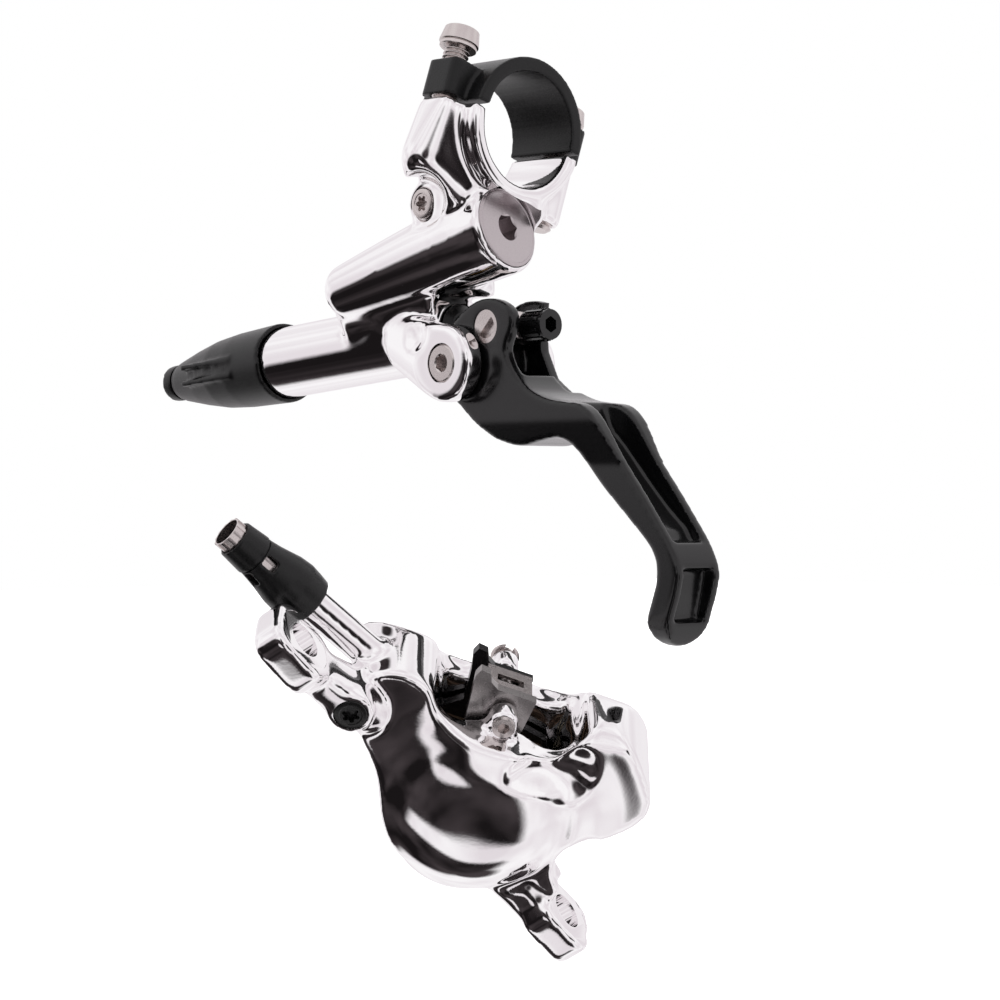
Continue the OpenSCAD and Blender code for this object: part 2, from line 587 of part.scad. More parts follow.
// Outline of a pad's backing plate with its tab and horn
plate_outline = [[-pad_half_x, -12.6], [-9.6, -15.6], [9.6, -15.6], [pad_half_x, -12.6], [pad_half_x, 4.4],
  [10.2, 7.4], [4.4, 8.6], [2.9, 11], [2.9, 20.4], [-4.4, 20.4], [-6, 21.4], [-6.8, 23], [-8.6, 23.2],
  [-9.1, 21.6], [-8.2, 17], [-7, 10.4], [-10.2, 7.4], [-pad_half_x, 4.4]];

module caliper_body() color(metal) caliper_frame() difference() {
  union() {
    drum(far_half_w);
    mirror([0, 1, 0]) drum(body_half_w);
    housing();
    ears_frame() for (side = [-1, 1]) ear_block(side);
    ear_arms();
    rod_y(bleed_b[0], bleed_b[1], -16.5, -6, 4.2);
    for (s = [-1, 1]) scale_side(s) {
      rod_y(pin_at[0], pin_at[1], 5, pin_boss_y, pin_boss_r);
      translate([pin_at[0] - pin_boss_r, 5, 9]) cube([2 * pin_boss_r, pin_boss_y - 5, pin_at[1] - 9]);
    }
    rod_y(0, piston_z, far_half_w - 4, far_half_w + 0.4, cap_bore_r + 1.2);
    fitting_frame() rod(-11, 9, tube_end_r, tube_end_r);
  }
  // Room for the hose boot
  fitting_frame() {
    rod(-sleeve_len - 3, -11, 5.5, 5.5);
    ring(-11.1, -8.1, tube_end_r, 5.5);
  }
  // Scoop in the near side of the right shoulder
  translate([12.6, -18.6, 15.6]) sphere(r = 7.6);
  // Rotor slot, pad pocket and window
  rod_y(0, rotor_edge_z - rotor_r, -1.9, 1.9, rotor_r + 1.5);
  translate([-pad_half_x - 0.3, -pocket_y, -30]) cube([2 * pad_half_x + 0.6, 2 * pocket_y, 39]);
  translate([-11.8, -pocket_y, 0]) cube([23.6, 2 * pocket_y, 40]);
  for (x = [-9.2, 7.4]) rod_y(x, 18.6, -10, 10, 5.6);
  // Piston bores with seal grooves, and the bore cap's thread
  rod_y(0, piston_z, -bore_y1, bore_y1, piston_r + run_gap);
  for (s = [-1, 1]) scale_side(s) rod_y(0, piston_z, seal_y, seal_y + 2.2, piston_r + 1.4);
  rod_y(0, piston_z, bore_y1 - 0.5, far_half_w + 1, cap_bore_r + run_gap);
  // Pad pin, bleed port, fluid passages
  rod_y(pin_at[0], pin_at[1], -pin_boss_y - 1, pin_boss_y + 1, pin_r + run_gap);
  rod_y(pin_at[0], pin_at[1], -pin_boss_y - 1, -pin_boss_y + 1.2, 2.05);
  rod_y(bleed_b[0], bleed_b[1], -17.5, -8, 2.05);
  rod_y(bleed_b[0], bleed_b[1], -17.5, -15, 3.05);
  rod_between([bleed_b[0], -9, bleed_b[1]], [-6, -11.5, 2], 0.9);
  fitting_frame() {
    rod(-12, 3, 2.05, 2.05);
    rod(0, 14, 0.9, 0.9);
  }
  // Mounting holes with spot faces above and below
  ears_frame() for (side = [-1, 1]) translate([side * ear_spacing / 2, 0, 0]) {
    translate([0, 0, -20]) cylinder(h = 40, r = ear_hole_r);
    cylinder(h = 16, r = spot_r);
    translate([0, 0, -caliper_ear_t - 12]) cylinder(h = 12, r = spot_r);
  }
}

module bore_cap() color("#8d8785") caliper_frame() translate([0, 0, piston_z]) difference() {
  rod_y(0, 0, bore_y1 - 0.3, far_half_w + 0.4, cap_bore_r);
  for (k = [0 : 5]) rotate([0, 60 * k, 0]) rod_y(7.5, 0, far_half_w - 1, far_half_w + 2, 1.3);
  rod_y(0, 0, bore_y1 - 1, bore_y1 + 0.6, 6);
  // Groove for the cap's seal
  difference() {
    rod_y(0, 0, bore_y1 + 0.3, bore_y1 + 1.7, cap_bore_r + 1);
    rod_y(0, 0, bore_y1, bore_y1 + 2, cap_bore_r - 1.1);
  }
}
module ring_y(y0, y1, r0, r1) translate([0, 0, piston_z]) difference() {
  rod_y(0, 0, y0, y1, r1);
  rod_y(0, 0, y0 - 1, y1 + 1, r0);
}
module bore_cap_seal() color(rubber) caliper_frame()
  ring_y(bore_y1 + 0.35, bore_y1 + 1.65, cap_bore_r - 1.08, cap_bore_r - 0.01);

// Cup-shaped piston, open towards its pad; side is -1 near and 1 far
module caliper_piston(side) color("#d8d2c4") caliper_frame() scale_side(side) translate([0, 0, piston_z])
  difference() {
    rod_y(0, 0, piston_y0 + 0.02, piston_y0 + piston_len, piston_r);
    rod_y(0, 0, piston_y0 - 1, piston_y0 + 7, piston_r - 3);
  }
module piston_near() caliper_piston(-1);
module piston_far() caliper_piston(1);
module piston_seal(side) color(rubber) caliper_frame() scale_side(side)
  ring_y(seal_y + 0.05, seal_y + 2.15, piston_r + 0.04, piston_r + 1.35);
module piston_seal_near() piston_seal(-1);
module piston_seal_far() piston_seal(1);

module pad_plate(side) caliper_frame() scale_side(side) difference() {
  plate_xz(plate_y + 0.01, plate_y + plate_t) polygon([for (p = plate_outline)
    p[1] > 19 && side > 0 ? p - [0, 1.6] : p]);
  rod_y(pin_at[0], pin_at[1], 0, 10, pin_r + 0.3);
}
module pad_plate_near() color("#9a9694") pad_plate(-1);
module pad_plate_far() color(black) pad_plate(1);
module pad_lining(side) color("#6e5a48") caliper_frame() scale_side(side) difference() {
  plate_xz(pad_gap, plate_y) polygon([[-11.6, -12], [-9, -14.8], [9, -14.8], [11.6, -12], [11.6, 4],
    [9.6, 6.4], [-9.6, 6.4], [-11.6, 4]]);
  translate([-0.6, pad_gap - 1, -16]) cube([1.2, 1.8, 24]);
}
module pad_lining_near() pad_lining(-1);
module pad_lining_far() pad_lining(1);

// Folded sheet spring between the two backing plates, with a slot in its top
module pad_spring() color("#c9c3c1") caliper_frame() difference() {
  union() {
    translate([-6, -plate_y + 0.35, 19]) cube([8.4, 2 * plate_y - 0.7, 0.6]);
    for (s = [-1, 1], x = [-6, 0.6]) translate([x, s > 0 ? plate_y - 0.95 : -plate_y + 0.35, 9.4])
      cube([1.8, 0.6, 10]);
  }
  translate([-4.2, -0.9, 18]) cube([5, 1.8, 3]);
}

module pad_pin() color("#b9b2b0") caliper_frame() difference() {
  union() {
    rod_y(pin_at[0], pin_at[1], -pin_boss_y + 0.1, pin_boss_y + 1.6, pin_r);
    rod_y(pin_at[0], pin_at[1], -pin_boss_y - 0.6, -pin_boss_y + 1.15, 2);
  }
  translate([pin_at[0], -pin_boss_y - 0.7, pin_at[1]]) rotate([-90, 0, 0])
    cylinder(h = 1.6, r = 1.15, $fn = 6);
  // Groove for the clip
  difference() {
    rod_y(pin_at[0], pin_at[1], pin_boss_y + 0.4, pin_boss_y + 1, 3);
    rod_y(pin_at[0], pin_at[1], pin_boss_y, pin_boss_y + 2, pin_r - 0.5);
  }
}
module pad_pin_clip() color("#8d8785") caliper_frame() difference() {
  rod_y(pin_at[0], pin_at[1], pin_boss_y + 0.45, pin_boss_y + 0.95, 2.6);
  rod_y(pin_at[0], pin_at[1], pin_boss_y, pin_boss_y + 2, pin_r - 0.45);
  translate([pin_at[0] - 0.8, pin_boss_y, pin_at[1]]) cube([1.6, 2, 5]);
}

module caliper_bleed_screw() color(black) caliper_frame() translate([bleed_b[0], -16.6, bleed_b[1]])
  bleed_screw(3, 1.2, 2, 5);
module caliper_bleed_seal() color(rubber) caliper_frame()
  translate([bleed_b[0], -15.38, bleed_b[1]]) difference() {
    rod_y(0, 0, 0, 0.36, 2.9);
    rod_y(0, 0, -1, 2, 2.1);
  }

// Splined sleeve that clamps the hose, screwed into the body
module hose_fitting() color("#c9c3c1") caliper_frame() fitting_frame() difference() {
  union() {
    rod(-sleeve_len, -11.05, 2.95, 2.95);
    rod(-11.1, -4, 2, 2);
  }
  for (k = [0 : 11]) rotate([30 * k, 0, 0]) translate([-sleeve_len - 1, 2.78, -0.45]) cube([13, 1, 0.9]);
  rod(-sleeve_len - 1, -13, 2.55, 2.55);
  rod(-14, 0, 1, 1);
}
// Boot over the sleeve, with a thin collar, two windows and a wide skirt
module caliper_hose_boot() color(rubber) caliper_frame() fitting_frame() difference() {
  revolve([[collar_x0, 3.02], [collar_x0, 3.5], [collar_x0 + 4.6, 3.9], [collar_x0 + 4.8, 3.7], [-19, 4.1],
    [-15, 5], [-12.5, 5.2], [-10.2, 4.9], [-8.4, 4.6], [-8.4, tube_end_r + 0.02], [-11, tube_end_r + 0.02],
    [-11, 3.02]]);
  for (s = [-1, 1]) rotate([38 * s, 0, 0]) translate([collar_x0 + 5.4, -6, -1]) cube([2.6, 4, 2]);
}

lever_body();
clamp_cap();
clamp_bolt_near();
clamp_bolt_far();
reservoir_cap();
reservoir_cap_seal();
reservoir_bladder();
lever_bleed_screw();
lever_bleed_seal();
pivot_screw();
pivot_bushings();
lever_blade();
barrel_pin();
pushrod();
reach_knob();
dust_boot();
piston_stop_ring();
master_piston();
primary_cup();
secondary_cup();
return_spring();
lever_hose_nut();
lever_hose_boot();
caliper_body();
bore_cap();
bore_cap_seal();
piston_near();
piston_far();
piston_seal_near();
piston_seal_far();
pad_plate_near();
pad_plate_far();
pad_lining_near();
pad_lining_far();
pad_spring();
pad_pin();
pad_pin_clip();
caliper_bleed_screw();
caliper_bleed_seal();
hose_fitting();
caliper_hose_boot();
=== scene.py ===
# %% [markdown]
# A hydraulic disc brake for a bicycle, in two parts: the lever with its master cylinder above, and the caliper
# below. The exact shapes come from the imported CAD model, and this script gives them their finish. First the model
# is loaded.

# %% Load the imported model
import bpy
from math import radians, sin, cos, tau
from mathutils import Matrix, Vector


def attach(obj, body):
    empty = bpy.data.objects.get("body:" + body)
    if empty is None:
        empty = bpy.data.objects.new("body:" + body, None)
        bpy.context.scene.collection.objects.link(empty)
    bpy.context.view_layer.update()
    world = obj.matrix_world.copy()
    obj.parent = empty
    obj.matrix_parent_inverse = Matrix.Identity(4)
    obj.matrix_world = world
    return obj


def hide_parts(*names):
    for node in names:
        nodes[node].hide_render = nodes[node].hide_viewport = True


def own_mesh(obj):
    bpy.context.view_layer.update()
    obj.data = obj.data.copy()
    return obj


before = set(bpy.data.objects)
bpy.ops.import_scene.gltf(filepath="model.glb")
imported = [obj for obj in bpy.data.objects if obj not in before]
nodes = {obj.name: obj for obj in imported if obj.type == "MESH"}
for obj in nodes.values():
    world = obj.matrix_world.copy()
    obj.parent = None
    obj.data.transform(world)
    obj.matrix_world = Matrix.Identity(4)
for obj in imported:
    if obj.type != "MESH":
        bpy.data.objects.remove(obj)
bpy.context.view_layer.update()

# %% [markdown]
# The camera looks level at an azimuth of 47 degrees, from 0.6 m away, so the near side of the clamp and of the
# caliper is a little larger than the far side. The lens is long, as for a product picture. It could also be turned
# by hand, but a tracked direction keeps it exactly on its target.

# %% Camera
view_angle = radians(47)
toward_viewer = Vector((sin(view_angle), -cos(view_angle), 0))
camera_distance = 0.6
target = Vector((0, 0, -0.0706))
camera_data = bpy.data.cameras.new("camera")
camera_data.lens = 112.32
camera_data.sensor_width = 36
camera_data.sensor_fit = "HORIZONTAL"
camera_data.clip_start = 0.01
camera = bpy.data.objects.new("camera", camera_data)
camera.location = target + camera_distance * toward_viewer
camera.rotation_euler = toward_viewer.to_track_quat("Z", "Y").to_euler()
bpy.context.scene.collection.objects.link(camera)
bpy.context.scene.camera = camera
bpy.context.scene.view_settings.view_transform = "Standard"
print("camera at", [round(v, 4) for v in camera.location])

# %% [markdown]
# Two small helpers are used by every material. One turns a colour written as sRGB hex into the linear values that
# shaders work with. The other adds a node, sets its values and links its inputs.

# %% Colour and node helpers
def srgb(code):
    channels = [int(code[i:i + 2], 16) / 255 for i in (0, 2, 4)]
    return tuple(c / 12.92 if c <= 0.04045 else ((c + 0.055) / 1.055) ** 2.4 for c in channels) + (1.0,)


def add(tree, kind, links=None, **settings):
    node = tree.nodes.new(kind)
    for name, value in settings.items():
        setattr(node, name, value)
    for socket, value in (links or {}).items():
        if isinstance(value, bpy.types.NodeSocket):
            tree.links.new(value, node.inputs[socket])
        else:
            node.inputs[socket].default_value = value
    return node


print("sRGB 808080 is linear", round(srgb("808080")[0], 4))

# %% [markdown]
# Polished metal shows its surroundings, so the studio is built as a tent of white with a few dark cards, as a
# photographer would hang them. The world is plain white to the camera and even for diffuse light. Only shiny
# surfaces see the cards: each card is a direction and a size in degrees, and its edge is soft. The largest one is
# the dark floor in front of the object, which draws the broad black bands on the tubes and on the caliper's face.

# %% Studio: world with dark cards
world = bpy.data.worlds.new("studio")
bpy.context.scene.world = world
world.use_nodes = True
sky = world.node_tree
sky.nodes.clear()
direction = add(sky, "ShaderNodeTexCoord").outputs["Generated"]


def card(at, size, edge):
    """Strength of one card: 1 inside its angle in degrees, 0 past its edge."""
    toward = add(sky, "ShaderNodeVectorMath", {0: direction, 1: Vector(at).normalized()}, operation="DOT_PRODUCT")
    return add(sky, "ShaderNodeMapRange", {"Value": toward.outputs["Value"], "From Min": cos(radians(size + edge)),
                                           "From Max": cos(radians(size - edge))},
               interpolation_type="SMOOTHSTEP").outputs["Result"]


def both(a, b, operation):
    return add(sky, "ShaderNodeMath", {0: a, 1: b}, operation=operation).outputs[0]


floor_side = (-0.05, -0.72, -0.69)
strip_middle = (-0.72, 0.26, -0.64)
dark = card(floor_side, 55, 4)
# A curved strip of white paper on the dark floor draws the pale crescent on the caliper's dome: a wide card with a
# smaller one taken out of it, and both ends hidden
strip = both(card(strip_middle, 69, 2), card(strip_middle, 58, 2), "SUBTRACT")
dark = both(dark, both(strip, card((0.12, -0.30, -0.95), 31, 5), "MULTIPLY"), "SUBTRACT")
# A white almond, where two round cards overlap, draws the oval light above it
almond = both(card((0.75, -0.65, -0.10), 35, 2), card((-0.06, -0.72, -0.69), 35, 2), "MULTIPLY")
dark = both(dark, almond, "SUBTRACT")
# Four small dark cards: behind the camera, overhead, to the right and under the caliper
for at, size, edge in [((0.731, -0.682, 0.05), 15, 7), ((-0.45, 0.10, 0.89), 9, 3), ((0.95, 0.25, -0.15), 12, 4),
                       ((-0.15, 0.10, -0.98), 10, 3)]:
    dark = both(dark, card(at, size, edge), "MAXIMUM")
clouds = add(sky, "ShaderNodeTexNoise", {"Vector": direction, "Scale": 2.2, "Detail": 2.0}).outputs["Fac"]
folds = add(sky, "ShaderNodeMapRange", {"Value": clouds, "From Min": 0.38, "From Max": 0.62}).outputs["Result"]
pale = add(sky, "ShaderNodeMix", {"Factor": folds, 6: srgb("E8E2E6"), 7: srgb("FFFEFF")}, data_type="RGBA")
deep = add(sky, "ShaderNodeMix", {"Factor": folds, 6: srgb("1A1718"), 7: srgb("433D3F")}, data_type="RGBA")
tint = add(sky, "ShaderNodeMix", {"Factor": dark, 6: pale.outputs[2], 7: deep.outputs[2]}, data_type="RGBA")
path = add(sky, "ShaderNodeLightPath")
seen = add(sky, "ShaderNodeBackground", {"Color": tint.outputs[2], "Strength": 1.0})
even = add(sky, "ShaderNodeBackground", {"Color": srgb("FFFFFF"), "Strength": 0.75})
white = add(sky, "ShaderNodeBackground", {"Color": srgb("FFFFFF"), "Strength": 1.0})
shiny = add(sky, "ShaderNodeMixShader", {0: path.outputs["Is Glossy Ray"], 1: even.outputs[0], 2: seen.outputs[0]})
through = both(path.outputs["Is Camera Ray"], path.outputs["Is Transmission Ray"], "MAXIMUM")
final = add(sky, "ShaderNodeMixShader", {0: through, 1: shiny.outputs[0], 2: white.outputs[0]})
add(sky, "ShaderNodeOutputWorld", {"Surface": final.outputs[0]})
print("world nodes", len(sky.nodes))

# %% [markdown]
# Two large soft lamps give the dull parts, such as rubber and paint, a light side and a dark side. They are broad,
# and the metal doesn't mirror them, so that their edges don't show.

# %% Lamps
def soft_lamp(name, at, power, size):
    data = bpy.data.lights.new(name, "AREA")
    data.energy = power
    data.size = size
    lamp = bpy.data.objects.new(name, data)
    lamp.location = at
    lamp.rotation_euler = (Vector(at) - target).to_track_quat("Z", "Y").to_euler()
    lamp.visible_glossy = False
    bpy.context.scene.collection.objects.link(lamp)
    return lamp


lamps = [soft_lamp("lamp_left", (-0.5, -0.9, 0.7), 7, 0.6), soft_lamp("lamp_right", (0.9, 0.5, 0.6), 5, 0.6)]
print("lamps", [lamp.name for lamp in lamps])

# %% [markdown]
# The floor is a plain pale sheet under the parts, which hang over it as they do in the picture. Shiny surfaces look
# past it into the studio.

# %% Floor
bpy.ops.object.select_all(action="DESELECT")
bpy.ops.mesh.primitive_plane_add(size=6, location=(0, 0, -0.19))
floor = bpy.context.object
floor.name = "floor"
floor.visible_glossy = False
paper = bpy.data.materials.new("white_paper")
paper.use_nodes = True
sheet = paper.node_tree
sheet.nodes.clear()
dull = add(sheet, "ShaderNodeBsdfDiffuse", {"Color": srgb("F2F1F0")})
glow = add(sheet, "ShaderNodeEmission", {"Color": srgb("FFFFFF"),
                                         "Strength": add(sheet, "ShaderNodeLightPath").outputs["Is Camera Ray"]})
lit = add(sheet, "ShaderNodeAddShader", {0: dull.outputs[0], 1: glow.outputs[0]})
add(sheet, "ShaderNodeOutputMaterial", {"Surface": lit.outputs[0]})
floor.data.materials.append(paper)
print("floor at", floor.location.z)

# %% [markdown]
# Every finish starts from the same recipe: a base colour with a slight drift, a roughness that varies with a fine
# pattern, and a bump. The pattern's grain is given as a real size in millimetres.

# %% Finish recipe
def finish(name, colour, metallic, rough, grain_mm, bump, drift=0.08, stretch=(1, 1, 1), coat=0.0, gloss=0.5):
    """A material whose roughness and height follow a noise of that grain size."""
    material = bpy.data.materials.new(name)
    material.use_nodes = True
    tree = material.node_tree
    shader = tree.nodes["Principled BSDF"]
    on_piece = add(tree, "ShaderNodeMapping", {"Vector": add(tree, "ShaderNodeTexCoord").outputs["Object"],
                                               "Scale": stretch})
    grain = add(tree, "ShaderNodeTexNoise", {"Vector": on_piece.outputs[0], "Scale": 1000 / grain_mm, "Detail": 3.0})
    cloud = add(tree, "ShaderNodeTexNoise", {"Vector": on_piece.outputs[0], "Scale": 60.0, "Detail": 2.0})
    base = srgb(colour)
    darker = tuple(c * (1 - drift) for c in base[:3]) + (1.0,)
    mix = add(tree, "ShaderNodeMix", {"Factor": cloud.outputs["Fac"], 6: darker, 7: base}, data_type="RGBA")
    tree.links.new(mix.outputs[2], shader.inputs["Base Color"])
    spread = add(tree, "ShaderNodeMapRange", {"Value": grain.outputs["Fac"], "From Min": 0.3, "From Max": 0.7,
                                              "To Min": rough * 0.8, "To Max": rough * 1.25})
    tree.links.new(spread.outputs[0], shader.inputs["Roughness"])
    relief = add(tree, "ShaderNodeBump", {"Height": grain.outputs["Fac"], "Strength": bump, "Distance": 0.0001})
    tree.links.new(relief.outputs[0], shader.inputs["Normal"])
    shader.inputs["Metallic"].default_value = metallic
    shader.inputs["Specular IOR Level"].default_value = gloss
    shader.inputs["Coat Weight"].default_value = coat
    shader.inputs["Coat Roughness"].default_value = 0.08
    return material


print("recipe ready")

# %% [markdown]
# The two bodies are forged aluminium, buffed to a mirror and sealed clear. The buffing wheel leaves fine lines that
# feather the edge of each reflection. They are drawn long and shallow, coarser than the real ones so that they show.

# %% Metals
polished = finish("polished_aluminium", "F8F6F7", 1.0, 0.05, 0.45, 0.03, drift=0.02, stretch=(0.25, 1, 1))
steel = finish("satin_stainless_steel", "D6CECC", 1.0, 0.24, 0.12, 0.12)
cap_metal = finish("bead_blasted_aluminium", "C4BCBE", 1.0, 0.30, 0.10, 0.15)
zinc = finish("zinc_plated_steel", "A09C9B", 1.0, 0.30, 0.2, 0.15)
bronze = finish("bearing_bronze", "B08A4E", 1.0, 0.30, 0.2, 0.10)
print("metals", [m.name for m in (polished, steel, cap_metal, zinc, bronze)])

# %% [markdown]
# The blade and the clamp cap are forged aluminium too, but black anodised: a hard oxide layer that takes dye and
# keeps a soft gloss. The hose boots are moulded in rubbery plastic, with a fine eroded skin.

# %% Blacks and plastics
anodised = finish("gloss_black_anodised", "080809", 0.0, 0.19, 0.15, 0.08, coat=0.15, gloss=0.4)
cap_black = finish("satin_black_anodised", "0A0A0B", 0.0, 0.30, 0.12, 0.25, gloss=0.3)
black_oxide = finish("black_oxide_steel", "121112", 0.0, 0.22, 0.15, 0.10)
boot_rubber = finish("moulded_elastomer", "09090A", 0.0, 0.33, 0.20, 0.3, gloss=0.35)
seal_rubber = finish("nitrile_rubber", "121212", 0.0, 0.50, 0.15, 0.25)
resin = finish("phenolic_resin", "C9BFA8", 0.0, 0.45, 0.3, 0.2)
lining = finish("sintered_friction_lining", "5A4636", 0.2, 0.70, 0.25, 0.9, drift=0.35)
print("plastics and coatings", [m.name for m in (anodised, cap_black, boot_rubber, seal_rubber, resin, lining)])

# %% [markdown]
# Each CAD node takes one finish. The seals, cups, pistons and the spring are hidden inside, but they get theirs too,
# so that the set looks right when it is taken apart.

# %% Give the CAD nodes their finishes
finishes = {
    polished: ["lever_body", "caliper_body"],
    steel: ["clamp_bolt_near", "clamp_bolt_far", "pivot_screw", "barrel_pin", "pushrod", "piston_stop_ring",
            "return_spring", "lever_hose_nut", "lever_bleed_screw", "pad_pin", "pad_pin_clip", "pad_spring",
            "hose_fitting"],
    cap_metal: ["reservoir_cap", "bore_cap"],
    zinc: ["pad_plate_near"],
    bronze: ["pivot_bushings", "master_piston"],
    anodised: ["lever_blade", "reach_knob"],
    cap_black: ["clamp_cap"],
    black_oxide: ["caliper_bleed_screw", "pad_plate_far"],
    boot_rubber: ["lever_hose_boot", "caliper_hose_boot", "dust_boot"],
    seal_rubber: ["reservoir_cap_seal", "reservoir_bladder", "lever_bleed_seal", "primary_cup", "secondary_cup",
                  "bore_cap_seal", "piston_seal_near", "piston_seal_far", "caliper_bleed_seal"],
    resin: ["piston_near", "piston_far"],
    lining: ["pad_lining_near", "pad_lining_far"],
}
finish_of = {name: material for material, names in finishes.items() for name in names}
for name, material in finish_of.items():
    nodes[name].data.materials.clear()
    nodes[name].data.materials.append(material)
print("nodes with a finish", len(finish_of), "of", len(nodes))

# %% [markdown]
# The set hangs in the air at odd angles, so every cut has to be placed in the frame of the piece it belongs to. The
# frames are a place in millimetres and a few turns, as in the CAD source, and a bore is then a point and an axis.

# %% Frames of the two parts, repeated from the CAD source
def place(at, *turns):
    """Matrix for a place in millimetres and turns in degrees about X, Y and Z."""
    m = Matrix.Translation(Vector(at) / 1000)
    for x, y, z in turns:
        m = m @ Matrix.Rotation(radians(z), 4, "Z") @ Matrix.Rotation(radians(y), 4, "Y") @ \
            Matrix.Rotation(radians(x), 4, "X")
    return m


caliper_frame = place((26, -29.7, -118.3), (45.6, 41.45, 80.25), (0, -28.8, 0))
ears_frame = caliper_frame @ place((0, 0, 0), (0, 30.2, 0)) @ place((-9.9, -14, -0.4))
fitting_frame = caliper_frame @ place((-32.9, -2, 19.4), (0, 24, 0))
clamp_frame = place((0, 0, 0), (-19, 0, 0))
reservoir_frame = place((6.5, -4, -18.8), (0, -14.5, 7))
cylinder_frame = place((3.3, 0, -36.2), (0, -5, 0))
pushrod_frame = place((3.3, 0, -37.6), (0, -1.21, 0))
row_frame = Matrix.Identity(4)
AXIS = {"X": Matrix.Rotation(radians(90), 4, "Y"), "Y": Matrix.Rotation(radians(-90), 4, "X"),
        "Z": Matrix.Identity(4)}
pivot = (-3.8, 0, -44.5)
barrel = (3.3, 0, -37.6)
lever_bleed = (-9.4, 0, -13.7)
caliper_bleed = (-28.6, 0, 13.2)
pad_pin = (-1.8, 0, 16.8)
piston_axis = (0, 0, -4.5)
outward = (90, 0, 0)
print("frames set, caliper at", [round(v, 4) for v in caliper_frame.translation])

# %% [markdown]
# A few tools are used again and again. Each cutter is a primitive that is moved into its frame as a mesh, while its
# object stays at the origin. A lathe profile is spun in edit mode, and a boolean cuts or joins, as a mill or a weld
# would.

# %% Cutting and filling tools
def settle(where, middle, axis="Z"):
    """Moves the fresh primitive's mesh to its place in a frame, and leaves its object at the origin."""
    tool = bpy.context.object
    tool.matrix_world = Matrix.Identity(4)
    tool.data.transform(where @ Matrix.Translation(Vector(middle) / 1000) @ AXIS[axis])
    return tool


def pin(where, axis, at, start, end, r0, r1=None, sides=96):
    """A cylinder or cone from start to end along an axis of a frame, in millimetres."""
    bpy.ops.object.select_all(action="DESELECT")
    bpy.ops.mesh.primitive_cone_add(vertices=sides, radius1=r0 / 1000, radius2=(r0 if r1 is None else r1) / 1000,
                                    depth=(end - start) / 1000)
    middle = Vector(at)
    middle["XYZ".index(axis)] = (start + end) / 2
    return settle(where, middle, axis)


def ball(where, at, size, segments=48):
    """An ellipsoid with three radii in millimetres, for soft hollows."""
    bpy.ops.object.select_all(action="DESELECT")
    bpy.ops.mesh.primitive_uv_sphere_add(segments=segments, ring_count=segments // 2, radius=0.001)
    bpy.context.object.data.transform(Matrix.Diagonal((*size, 1)))
    return settle(where, at)


def turned(name, where, profile, closed=False, steps=72):
    """A lathe piece: (height, radius) points in millimetres spun about the frame's Z axis."""
    mesh = bpy.data.meshes.new(name)
    count = len(profile)
    mesh.from_pydata([(r / 1000, 0, z / 1000) for z, r in profile],
                     [(i, (i + 1) % count) for i in range(count if closed else count - 1)], [])
    piece = bpy.data.objects.new(name, mesh)
    bpy.context.scene.collection.objects.link(piece)
    bpy.ops.object.select_all(action="DESELECT")
    bpy.context.view_layer.objects.active = piece
    piece.select_set(True)
    bpy.ops.object.mode_set(mode="EDIT")
    bpy.ops.mesh.select_all(action="SELECT")
    bpy.ops.mesh.spin(steps=steps, angle=tau, center=(0, 0, 0), axis=(0, 0, 1))
    bpy.ops.mesh.select_all(action="SELECT")
    bpy.ops.mesh.remove_doubles(threshold=2e-6)
    bpy.ops.mesh.normals_make_consistent(inside=False)
    bpy.ops.object.mode_set(mode="OBJECT")
    mesh.transform(where)
    return piece


def copy_of(name):
    """A merged copy of a CAD node, alone in the selection."""
    bpy.ops.object.select_all(action="DESELECT")
    copy = bpy.data.objects.new(name + "_shaped", nodes[name].data.copy())
    bpy.context.scene.collection.objects.link(copy)
    bpy.context.view_layer.objects.active = copy
    copy.select_set(True)
    bpy.ops.object.mode_set(mode="EDIT")
    bpy.ops.mesh.select_all(action="SELECT")
    bpy.ops.mesh.remove_doubles(threshold=1e-6)
    bpy.ops.object.mode_set(mode="OBJECT")
    return copy


def apply(obj, kind, **settings):
    """Adds a modifier with its settings and applies it."""
    bpy.ops.object.select_all(action="DESELECT")
    bpy.context.view_layer.objects.active = obj
    obj.select_set(True)
    modifier = obj.modifiers.new(kind.lower(), kind)
    for key, value in settings.items():
        setattr(modifier, key, value)
    bpy.ops.object.modifier_apply(modifier=modifier.name)


def on_face(point, y):
    """The point of a bore's axis that lies at height y of its frame."""
    return point[0], y, point[2]


def cut(obj, tools, operation="DIFFERENCE"):
    """Cuts tools out of obj, or joins them to it, and removes them."""
    for tool in tools:
        apply(obj, "BOOLEAN", operation=operation, object=tool, solver="MANIFOLD")
        bpy.data.objects.remove(tool)


def finished(piece, node, body, angle=32):
    """Gives a piece its shading, its finish and its place in the model, instead of its CAD node."""
    bpy.ops.object.select_all(action="DESELECT")
    bpy.context.view_layer.objects.active = piece
    piece.select_set(True)
    bpy.ops.object.shade_smooth_by_angle(angle=radians(angle))
    piece.data.materials.clear()
    piece.data.materials.append(finish_of[node])
    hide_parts(node)
    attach(piece, body)
    print(piece.name, "triangles", sum(len(p.vertices) - 2 for p in piece.data.polygons))
    return piece


print("tools ready")

# %% [markdown]
# A forging has no sharp edges once it has been buffed: every corner flows into the next face. Bevels would round
# each edge alone, so the crisp CAD copy is remeshed into small even cells instead and relaxed until its edges flow,
# as under a buffing wheel. Around the mounting ears, where a mill has been, it is relaxed less. The machined holes
# are filled first and cut again last, sharp.

